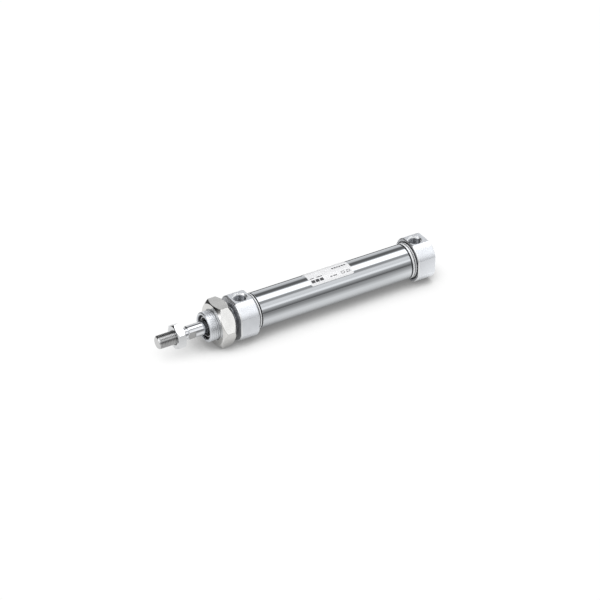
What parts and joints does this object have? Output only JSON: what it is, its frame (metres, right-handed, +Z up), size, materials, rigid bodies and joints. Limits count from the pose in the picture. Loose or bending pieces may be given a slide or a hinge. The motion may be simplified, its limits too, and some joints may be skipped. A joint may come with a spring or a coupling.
{
  "type": "pneumatic cylinder",
  "caption": "Round-body double-acting pneumatic cylinder with a threaded nose and mounting nut, a sliding rod with a threaded end and lock nut, and an air port in each end cover.",
  "frame": {"origin": "on the cylinder's axis, in the flat front face of the rod cover", "axes": "+X along the rod, the way it comes out; +Z up, where both ports open"},
  "size_m": [0.223, 0.037, 0.0328],
  "materials": {
    "cover_aluminium": "matte, clear anodised",
    "tube_steel": "bright, finely polished stainless",
    "label_film": "satin film, printed in black",
    "bush_bronze": "sintered, matte",
    "seal_rubber": "satin",
    "seal_ring_steel": "satin",
    "bumper_rubber": "matte",
    "rod_chrome": "hard chrome, ground and polished",
    "piston_aluminium": "turned",
    "magnet_ferrite": "matte",
    "piston_nut_steel": "plain steel",
    "wear_ring_plastic": "matte",
    "nut_nickel": "bright nickel plate",
    "nut_zinc": "bright zinc plate"
  },
  "bodies": {
    "barrel": {"rod_cover": "cover_aluminium", "head_cover": "cover_aluminium", "cylinder_tube": "tube_steel", "label": "label_film", "rod_bush": "bush_bronze", "rod_seal": "seal_rubber", "seal_ring": "seal_ring_steel", "front_bumper": "bumper_rubber", "rear_bumper": "bumper_rubber", "front_tube_gasket": "seal_rubber", "rear_tube_gasket": "seal_rubber"},
    "piston_seals": {"front_piston_seal": "seal_rubber", "rear_piston_seal": "seal_rubber", "wear_ring": "wear_ring_plastic"},
    "rod_assembly": {"piston_rod": "rod_chrome", "piston_front_half": "piston_aluminium", "piston_rear_half": "piston_aluminium", "magnet_ring": "magnet_ferrite", "rod_gasket": "seal_rubber", "piston_nut": "piston_nut_steel"},
    "mounting_nut": {"mounting_nut": "nut_nickel"},
    "lock_nut": {"rod_lock_nut": "nut_zinc"}
  },
  "joints": [
    {"name": "piston_slide", "type": "slide", "parent": "barrel", "child": "piston_seals", "axis": [1, 0, 0], "range_m": [0, 0.1]},
    {"name": "rod_turn", "type": "hinge", "parent": "piston_seals", "child": "rod_assembly", "pos_m": [-0.132, 0, 0], "axis": [1, 0, 0], "continuous": true},
    {"name": "mounting_nut_travel", "type": "slide", "parent": "barrel", "child": "mounting_nut", "axis": [1, 0, 0], "range_m": [-0.0034, 0.007]},
    {"name": "lock_nut_travel", "type": "slide", "parent": "rod_assembly", "child": "lock_nut", "axis": [1, 0, 0], "range_m": [-0.0035, 0.013]}
  ]
}
